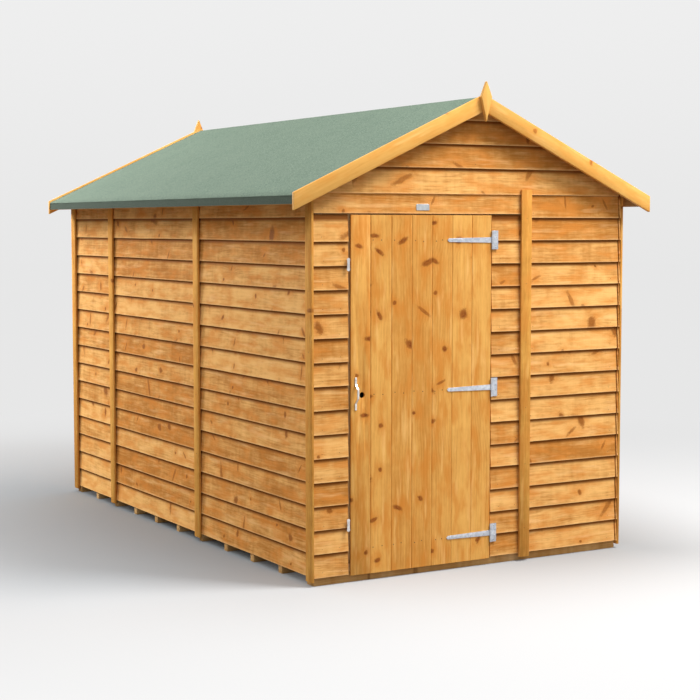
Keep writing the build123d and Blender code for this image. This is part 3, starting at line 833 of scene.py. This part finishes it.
def bearer_tone(middle, value):
    """The bearers at both ends are dark, partly their own tone and partly painted shade, and the
    others pale.
    """
    return 0.95 if abs(middle.y) > OUTER_BEARER else value * 0.4


for hand in ("left", "right"):
    dress_timber(f"{hand}_wall_cover_strips", f"{hand}_wall_strips", TRIM)
    dress_wall_frame(hand + "_wall")
    for end in ("front", "back"):
        dress_timber(f"{end}_barge_board_{hand}", f"{end}_barge_{hand}", BARGE, ease=0.0022)
for end in ("front", "back"):
    dress_wall_frame(end + "_wall")
dress_timber("gable_cover_strips", "gable_strips", TRIM)
dress_timber("finials", "gable_finials", BARGE)
dress_timber("roof_purlins", "roof_beams", FRAMING)
dress_timber("floor_bearers", "bearers", FLOORING, tone=bearer_tone)

# Door: tongued and grooved boards with vee joints, ledges and braces

VEE_JOINT = (0.0048, 0.0024)
DOOR_EDGE = (0.0012, 0.0012)
DOOR_JOINT_GAP = 0.0004
DOOR_BOARDS = 6  # besides the lock board

dress_timber("door_lock_board", "door_first_board", DOOR, "door", ease=0.0008)
dress_timber("door_ledges", "door_ledges_and_braces", DOOR, "door")

door_low, door_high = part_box("door_boards")
door_board = (door_high.x - door_low.x) / DOOR_BOARDS


def vee_section(width, thick, left_joint, right_joint):
    """A door board's section; each joint holds how far its bevel runs across and into it."""
    return [(left_joint[0], 0.0), (width - right_joint[0], 0.0), (width, right_joint[1]),
            (width, thick), (0.0, thick), (0.0, left_joint[1])]


def door_boarding():
    joints = [VEE_JOINT] * DOOR_BOARDS + [DOOR_EDGE]
    sections = [vee_section(door_board - DOOR_JOINT_GAP, door_high.y - door_low.y,
                            left, right) for left, right in zip(joints, joints[1:])]
    bm = board_row("door_boarding", door_low + RIGHT * DOOR_JOINT_GAP, UP, RIGHT, BACK,
                   door_high.z - door_low.z, sections, door_board, step=0.4)
    show(bm, "door_boarding", DOOR, "door", ("door_boards",), sharp=15.0)


door_boarding()

# Floor and roof boards

FLOOR_BOARD = 0.109
FLOOR_SEAM = 0.0006
ROOF_BOARD = 0.1216
ROOF_BOARD_THICK = 0.0108
ROOF_SEAM = 0.0008
RIDGE_GAP = 0.0001
BEYOND_RIDGE = 0.03
BEYOND_EAVE = 1.2
SHEET_EASE = 0.0012


def floor_boarding():
    low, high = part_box("floor_boards")
    count = round((high.x - low.x) / FLOOR_BOARD)
    width = (high.x - low.x) / count
    section = eased(width - FLOOR_SEAM, high.z - low.z, SHEET_EASE)
    bm = board_row("floor_boarding", Vector((low.x, low.y, high.z)), BACK, RIGHT, -UP,
                   high.y - low.y, [section] * count, width, step=0.5)
    show(bm, "floor_boarding", FLOORING, nodes=("floor_boards",))


def roof_boarding(hand, side):
    """Boards laid down one slope, long enough to cut plumb at the ridge and the eave."""
    name = "roof_boarding_" + hand
    low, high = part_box("roof_boards_" + hand)
    count = round((high.y - low.y) / ROOF_BOARD)
    width = (high.y - low.y) / count
    down = Vector((side, 0.0, -ROOF_SLOPE)).normalized()
    into = Vector((-side * ROOF_SLOPE, 0.0, -1.0)).normalized()
    edge = max(abs(low.x), abs(high.x))
    section = eased(width - ROOF_SEAM, ROOF_BOARD_THICK, SHEET_EASE)
    first = Vector((0.0, low.y, high.z - RIDGE_GAP)) - down * BEYOND_RIDGE
    bm = board_row(name, first, down, BACK, into, edge * BEYOND_EAVE, [section] * count, width,
                   step=0.6)
    cut_along(bm, RIGHT * 0.0, RIGHT * -side)
    cut_along(bm, RIGHT * (side * edge), RIGHT * side)
    show(bm, name, ROOF_BOARDING, nodes=("roof_boards_" + hand,))


floor_boarding()
roof_boarding("left", -1.0)
roof_boarding("right", 1.0)

# Roof felt: a sheet over each slope, folded down over the eave, with a slightly wavy edge

FELT_THICK = 0.003
FELT_FOLD = 0.006
SLOPE_STEPS = 24
FOLD_STEPS = 4
DRIP_STEPS = 4
FELT_COLUMN = 0.05
RIPPLE = 0.0006
DRIP_RIPPLE = 0.8
EDGE_WAVE = 0.0012
UNDERSIDE_SHRINK = 0.998


def felt_line(side, edge, low, high):
    """Points down the outside of the felt: ridge, slope, rounded fold and drip."""
    eave = high.z - ROOF_SLOPE * edge
    angle = math.atan(ROOF_SLOPE)
    points = []
    for i in range(SLOPE_STEPS):
        x = (edge - FELT_FOLD) * i / (SLOPE_STEPS - 1)
        points.append((x, high.z - ROOF_SLOPE * x))
    for i in range(1, FOLD_STEPS + 1):
        turn = angle + (math.pi / 2 - angle) * i / FOLD_STEPS
        fall = FELT_FOLD * 0.55 * (1 + math.sin(angle) - math.cos(turn))
        points.append((edge - FELT_FOLD * (1 - math.sin(turn)), eave - fall))
    start = points[-1][1]
    for i in range(1, DRIP_STEPS + 1):
        points.append((edge, start + (low.z - start) * i / DRIP_STEPS))
    return [(side * x, z) for x, z in points]


def felt_ring(bm, line, side, edge, y):
    """The felt's section at one place along the roof: down its outside and up its inside."""
    drip_shade = bm.verts.layers.float["drip_shade"]
    drip_start = len(line) - 1 - DRIP_STEPS
    edge_wave = EDGE_WAVE + wave_at(y, side * 7.0, 5.0, 2.0, EDGE_WAVE)
    outer = []
    inner = []
    for j, (x, z) in enumerate(line):
        ripple = RIPPLE + RIPPLE * noise.noise(Vector((x * 3.0, y * 4.0, side)))
        if j < drip_start:
            outer.append(bm.verts.new((x, y, z - ripple)))
            inner.append(bm.verts.new((x * UNDERSIDE_SHRINK, y, z - FELT_THICK * 1.05)))
        else:
            z += edge_wave * (j - drip_start) / DRIP_STEPS
            outer.append(bm.verts.new((x - side * ripple * DRIP_RIPPLE, y, z)))
            # the drip's outer points carry the felt's painted shade
            outer[-1][drip_shade] = 1.0
            inner.append(bm.verts.new((side * (edge - FELT_THICK * 0.95), y, z)))
    return outer + inner[::-1]


def felt_sheet(hand, side):
    low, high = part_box("roof_felt_" + hand)
    edge = max(abs(low.x), abs(high.x))
    line = felt_line(side, edge, low, high)
    count = round((high.y - low.y) / FELT_COLUMN)
    bm = bmesh.new()
    bm.verts.layers.float.new("drip_shade")
    rings = [felt_ring(bm, line, side, edge, low.y + (high.y - low.y) * i / count)
             for i in range(count + 1)]
    join_rings(bm, rings)
    for ring in (rings[0], rings[-1]):
        for j in range(len(line) - 1):
            bm.faces.new((ring[j], ring[-1 - j], ring[-2 - j], ring[j + 1]))
    show(bm, "roof_felting_" + hand, FELT, nodes=("roof_felt_" + hand,), sharp=50.0)


felt_sheet("left", -1.0)
felt_sheet("right", 1.0)

# Hardware

dress_metal("hinge_straps", "hinge_strap_leaves", ZINC, "door")
dress_metal("hinge_plates", "hinge_wall_plates", ZINC)
dress_metal("pull_handle", "door_pull", BRIGHT_ZINC, "door")
for level in ("upper", "lower"):
    dress_metal("turn_button_" + level, level + "_turn_button", BRIGHT_ZINC, level + "_button")
dress_metal("turn_button_pins", "turn_button_screws", BRIGHT_ZINC)

# Screws and nails. A screw's rings are shares of its radius, and its cross recess lies in
# the inner ones, shallow in the first of them.

SCREW_AROUND = 24
SCREW_RINGS = (1.0, 0.86, 0.66, 0.52, 0.36, 0.2)
RECESS_DEPTHS = ((0.5, 0.8), (0.6, 0.32))
TIP_HEIGHT = 0.15
SCREW_SINK = 0.0004
NAIL_AROUND = 10
NAIL_TOP = 0.85
NAIL_SINK = 0.0006
NAIL_RISE = 0.00035

HINGE_SCREW = (0.0042, 0.0016)
HANDLE_SCREW = (0.0036, 0.0015)
DOOR_NAIL = 0.0028
BOARDING_NAIL = 0.0016
STRIP_NAIL = 0.0018


def directions(outward, count):
    """Each angle round an outward axis with its direction."""
    right = outward.cross(UP).normalized()
    angles = [2 * math.pi * i / count for i in range(count)]
    return [(angle, right * math.cos(angle) + UP * math.sin(angle)) for angle in angles]


def screw_rise(share, angle, height):
    """A dome's height at a share of its radius, with the cross recess cut into it."""
    cross = max(0.0, math.cos(4 * angle)) ** 0.5
    recess = next((depth for reach, depth in RECESS_DEPTHS if share < reach), 0.0)
    return height * (math.sqrt(max(0.0, 1.0 - share ** 3)) - recess * cross)


def add_screw(bm, centre, outward, radius, height):
    """A domed screw head with a cross recess, on a surface that faces outward."""
    around = directions(outward, SCREW_AROUND)
    rings = [[bm.verts.new(centre + flat * radius - outward * SCREW_SINK)
              for _, flat in around]]
    for share in SCREW_RINGS:
        rings.append([
            bm.verts.new(centre + flat * (radius * share)
                         + outward * screw_rise(share, angle, height))
            for angle, flat in around])
    join_rings(bm, rings)
    bm.faces.new(rings[0][::-1])
    tip = bm.verts.new(centre + outward * (height * TIP_HEIGHT))
    for i in range(SCREW_AROUND):
        bm.faces.new((rings[-1][i], rings[-1][(i + 1) % SCREW_AROUND], tip))


def add_nail(bm, centre, outward, radius):
    """A flat nail head, hardly proud of the wood."""
    close_rings(bm, [
        [bm.verts.new(centre + flat * radius * share + outward * rise)
         for _, flat in directions(outward, NAIL_AROUND)]
        for share, rise in ((1.0, -NAIL_SINK), (NAIL_TOP, NAIL_RISE))])


def small_parts(name, material, body, spots, build, *sizes):
    """One piece made of many small ones, each built at its (centre, outward) spot."""
    bm = bmesh.new()
    for centre, outward in spots:
        build(bm, centre, outward, *sizes)
    show(bm, name, material, body)


# The door's hinges and ledges, and the screws of each strap and wall plate
HINGE_HEIGHTS = (0.158, 0.872, 1.583)
STRAP_THICK = 0.003
STRAP_SCREWS = (-0.140, -0.085, -0.020, 0.055)
PLATE_SCREWS = ((0.0, 0.034), (0.0, -0.034), (0.006, 0.013), (0.006, -0.013))
PLATE_MIDDLE = 0.015
HANDLE_BAR = 0.004
HANDLE_END = 0.012

# The nails: from the ledges' ends to the straps' tips, across a board, and how far they stray
NAILED_FROM, NAILED_TO = -0.600, -0.170
DOOR_NAIL_SHARES = (0.16, 0.56)
DOOR_NAIL_STRAY = (0.014, 0.010)
STRIP_NAIL_PITCH = 0.3
STRIP_NAIL_STRAY = 0.03


def door_nails():
    """Nails through the door into its three ledges, two to a board."""
    rng = random.Random("door_nails")
    starts = [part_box("door_lock_board")[0].x]
    starts += [door_low.x + door_board * i for i in range(DOOR_BOARDS)]
    spots = []
    for height in HINGE_HEIGHTS:
        for start in starts:
            for share in DOOR_NAIL_SHARES:
                x = start + door_board * share + about_zero(rng, DOOR_NAIL_STRAY[0])
                z = height + about_zero(rng, DOOR_NAIL_STRAY[1])
                if NAILED_FROM <= x <= NAILED_TO:
                    spots.append((Vector((x, door_low.y, z)), FRONT))
    return spots


def strip_nails():
    """Nails down the middle of every cover strip."""
    rng = random.Random("strip_nails")
    spots = []
    for node, outward in (("left_wall_cover_strips", LEFT), ("right_wall_cover_strips", RIGHT),
                          ("gable_cover_strips", None)):
        bm = node_mesh(node)
        for group in list(islands(bm)):
            points = np.array([tuple(v.co) for v in group])
            low = Vector(points.min(0))
            high = Vector(points.max(0))
            facing = outward or (FRONT if low.y < 0.0 else BACK)
            face = (low + high) / 2 + facing * abs(((high - low) / 2).dot(facing))
            count = round((high.z - low.z) / STRIP_NAIL_PITCH)
            for i in range(count):
                z = low.z + (high.z - low.z) * (i + 0.5) / count
                z += about_zero(rng, STRIP_NAIL_STRAY)
                spots.append((Vector((face.x, face.y, z)), facing))
        bm.free()
    return spots


small_parts("door_nails", NAIL, "door", door_nails(), add_nail, DOOR_NAIL)
small_parts("boarding_nails", NAIL, "root", boarding_nails, add_nail, BOARDING_NAIL)


def hinge_screws(name, body, places):
    """Screws at the same (x, z) places about the height of each hinge."""
    face = door_low.y - STRAP_THICK
    spots = [(Vector((x, face, height + z)), FRONT)
             for height in HINGE_HEIGHTS for x, z in places]
    small_parts(name, ZINC, body, spots, add_screw, *HINGE_SCREW)


plate_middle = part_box("hinge_plates")[1].x - PLATE_MIDDLE
hinge_screws("strap_screws", "door", [(x, 0.0) for x in STRAP_SCREWS])
hinge_screws("plate_screws", "root", [(plate_middle + x, z) for x, z in PLATE_SCREWS])

handle_low, handle_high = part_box("pull_handle")
handle_x = (handle_low.x + handle_high.x) / 2
handle_spots = [(Vector((handle_x, handle_high.y - HANDLE_BAR, z)), FRONT)
                for z in (handle_low.z + HANDLE_END, handle_high.z - HANDLE_END)]
small_parts("pull_screws", BRIGHT_ZINC, "door", handle_spots, add_screw, *HANDLE_SCREW)
small_parts("strip_nails", NAIL, "root", strip_nails(), add_nail, STRIP_NAIL)

# The blank plate on the board over the door, leaning with that board

BADGE_CENTRE_X = -0.3035
BADGE_LOW = 1.723
BADGE_WIDTH = 0.072
BADGE_HEIGHT = 0.029
BADGE_THICK = 0.0014
BADGE_CORNER = 0.004
CORNER_STEPS = 4

# The plate's rings from back to front: how far in from its edge and how far out of the wall
BADGE_RINGS = ((0.0, -0.001), (0.0, BADGE_THICK * 0.7), (0.0005, BADGE_THICK))


def badge_outline():
    """The plate's rounded rectangle about its middle."""
    outline = []
    for side, rise, start in ((1, -1, -90), (1, 1, 0), (-1, 1, 90), (-1, -1, 180)):
        x = side * (BADGE_WIDTH / 2 - BADGE_CORNER)
        z = rise * (BADGE_HEIGHT / 2 - BADGE_CORNER)
        for i in range(CORNER_STEPS + 1):
            angle = math.radians(start + 90.0 * i / CORNER_STEPS)
            outline.append((x + BADGE_CORNER * math.cos(angle),
                            z + BADGE_CORNER * math.sin(angle)))
    return outline


def add_badge():
    head_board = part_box("front_wall_gable")[0]
    up = Vector((0.0, LAP_SLOPE, 1.0)).normalized()
    out = Vector((0.0, -1.0, LAP_SLOPE)).normalized()
    face = head_board.y + LAP_SLOPE * (BADGE_LOW - head_board.z)
    middle = Vector((BADGE_CENTRE_X, face, BADGE_LOW)) + up * (BADGE_HEIGHT / 2)
    bm = bmesh.new()
    rings = []
    for inset, depth in BADGE_RINGS:
        scale_x = 1.0 - 2 * inset / BADGE_WIDTH
        scale_z = 1.0 - 2 * inset / BADGE_HEIGHT
        rings.append([
            bm.verts.new(middle + RIGHT * (x * scale_x) + up * (z * scale_z) + out * depth)
            for x, z in badge_outline()])
    close_rings(bm, rings)
    show(bm, "blank_badge", BADGE)


add_badge()

# Camera at the photograph's viewing angle

def make_camera():
    data = bpy.data.cameras.new("camera")
    data.sensor_width = 36.0
    data.lens = 81.39
    camera = new_object("camera", data)
    camera.location = (-4.336, -7.786, 1.658)
    camera.rotation_euler = (math.radians(85.458), 0.0, math.radians(-30.197))
    bpy.context.scene.camera = camera


make_camera()

# Soft studio lamps. Two of them leave the floor unlit: it is excluded from what they light.

UNLIT_BY_FILL = bpy.data.collections.new("not_lit_by_fill_lamps")


def area_light(name, place, target, size, power, excluded=None):
    data = bpy.data.lights.new(name, "AREA")
    data.shape = "RECTANGLE"
    data.size, data.size_y = size
    data.energy = power
    lamp = new_object(name, data)
    lamp.location = place
    direction = Vector(target) - Vector(place)
    lamp.rotation_euler = direction.to_track_quat("-Z", "Y").to_euler()
    if excluded:
        lamp.light_linking.receiver_collection = excluded


area_light("key", (2.2, -3.6, 6.2), (0.1, -1.5, 1.0), (2.4, 2.0), 500.0)
area_light("left_rear", (-3.0, 5.0, 4.0), (-0.9, 2.8, 1.0), (1.8, 1.8), 420.0, UNLIT_BY_FILL)
area_light("left_low", (-5.0, 0.3, 0.4), (-0.9, 0.3, 1.9), (3.0, 1.2), 8.0)
area_light("front_low", (1.4, -5.5, 0.5), (0.1, -1.5, 2.0), (3.0, 1.2), 9.0, UNLIT_BY_FILL)

# The camera sees the background, and only the sky lights the shed

BACKGROUND = 0.80
BACKGROUND_TOP = 0.86
BACKGROUND_HEIGHTS = (-0.05, 0.16)
SKY_LOW = 0.34
SKY_HIGH = 1.12
SKY_HEIGHTS = (-0.1, 1.0)


class WorldShader(Shader):
    """The same short ways, for the world's nodes."""

    def __init__(self, world):
        world.use_nodes = True
        self.tree = world.node_tree
        self.surface = self.tree.nodes["Background"]


def seen_and_unseen(shader):
    """1 and 0 for the rays of camera, gloss and glass, 0 and 1 for the others."""
    path = shader.add("LightPath", {}).outputs
    seen = shader.math("MAXIMUM", path["Is Camera Ray"], shader.math(
        "MAXIMUM", path["Is Glossy Ray"], path["Is Transmission Ray"]))
    return seen, shader.math("SUBTRACT", 1.0, seen)


def make_world():
    world = bpy.data.worlds.new("studio")
    bpy.context.scene.world = world
    shader = WorldShader(world)
    height = shader.split(shader.add("TexCoord", {}).outputs["Generated"])[2]
    sky = shader.smooth(height, *SKY_HEIGHTS, SKY_LOW, SKY_HIGH)
    wall = shader.smooth(height, *BACKGROUND_HEIGHTS, BACKGROUND, BACKGROUND_TOP)
    seen, unseen = seen_and_unseen(shader)
    shader.set_surface(Color=(1.0, 1.0, 1.0), Strength=shader.sum(
        shader.times(sky, unseen), shader.times(seen, wall)))


make_world()

# The floor: painted shade, greyer near the shed and cooler in its shade, and painted light where
# its glow is brighter towards the front, fading into the background

FLOOR_SHADE_LEFT = 0.49
FLOOR_SHADE_RIGHT = 0.25
FLOOR_FAR = 0.57
FLOOR_REACH = (-0.6, 1.2)
FLOOR_LIGHTING = 0.24
FLOOR_FADE = (0.8, 5.5)
FLOOR_FRONT = 0.99
FRONT_RANGE = (2.0, -4.5)
GLOW_FADE = (5.0, 16.0)
COOL_REACH = 2.2
COOL_DEPTH_RANGE = (-1.7, -0.7)
COOL_RIGHT = 0.2
COOL_TINT = (-0.09, 0.07)
FLOOR_DROP = 0.0005


def clearance(shader, place):
    """How far a place on the floor is from the shed's box."""
    quarter = shader.vector_math("ABSOLUTE", place)[0]
    beyond = shader.vector_math("SUBTRACT", quarter, (cad_high.x, cad_high.y, 0.0))[0]
    outside = shader.vector_math("MAXIMUM", beyond, (0.0, 0.0, 0.0))[0]
    return shader.vector_math("LENGTH", outside)["Value"]


def floor_colour(shader, place, seen, unseen):
    """The floor's grey for the rays that see it, with painted shade near the shed, and for the
    others, and its painted cool tint in the shade.
    """
    x, y, _ = shader.split(place)
    clear = clearance(shader, place)
    # painted shade: the floor the camera sees is darker near the shed, most of all at its right
    near_shade = shader.smooth(x, cad_low.x, cad_high.x, FLOOR_SHADE_LEFT, FLOOR_SHADE_RIGHT)
    shown = shader.smooth(clear, *FLOOR_REACH, near_shade, FLOOR_FAR)
    grey = shader.sum(shader.times(seen, shown), shader.times(unseen, FLOOR_LIGHTING))
    # painted shade tint: the seen floor is made cooler in the shade beside the shed's left
    cool_shade = shader.times(shader.smooth(clear, 0.0, COOL_REACH, 1.0, 0.0),
                        shader.smooth(x, cad_low.x, 0.0, 1.0, COOL_RIGHT),
                        shader.smooth(y, *COOL_DEPTH_RANGE))
    red, blue = [shader.times(grey, shader.math("MULTIPLY_ADD", cool_shade, change, 1.0))
                 for change in COOL_TINT]
    return shader.vector(red, grey, blue)


def floor_material():
    shader = Shader("studio_floor")
    place = shader.object_place()
    seen, unseen = seen_and_unseen(shader)
    shader.set_surface(Base_Color=floor_colour(shader, place, seen, unseen),
                       Roughness=0.9, Specular_IOR_Level=0.0)
    distance = shader.vector_math("LENGTH", place)["Value"]
    # painted light: the floor's glow is brighter towards the front
    front = shader.smooth(shader.split(place)[1], *FRONT_RANGE, BACKGROUND, FLOOR_FRONT)
    glow = shader.add("Emission", {"Strength": shader.smooth(
        distance, *GLOW_FADE, front, BACKGROUND)})
    faded = shader.times(seen, shader.smooth(distance, *FLOOR_FADE))
    blend = shader.add("MixShader", {
        0: faded, 1: shader.surface.outputs[0], 2: glow.outputs[0]})
    output = shader.tree.nodes["Material Output"]
    shader.tree.links.new(blend.outputs[0], output.inputs["Surface"])
    return shader.material


def make_floor():
    bm = bmesh.new()
    bmesh.ops.create_circle(bm, cap_ends=True, segments=96, radius=60.0)
    mesh = bpy.data.meshes.new("studio_floor")
    bm.to_mesh(mesh)
    bm.free()
    mesh.materials.append(floor_material())
    floor = new_object("studio_floor", mesh)
    floor.location.z = -FLOOR_DROP
    UNLIT_BY_FILL.objects.link(floor)
    UNLIT_BY_FILL.collection_objects[0].light_linking.link_state = "EXCLUDE"


make_floor()

bpy.context.scene.view_settings.view_transform = "Standard"
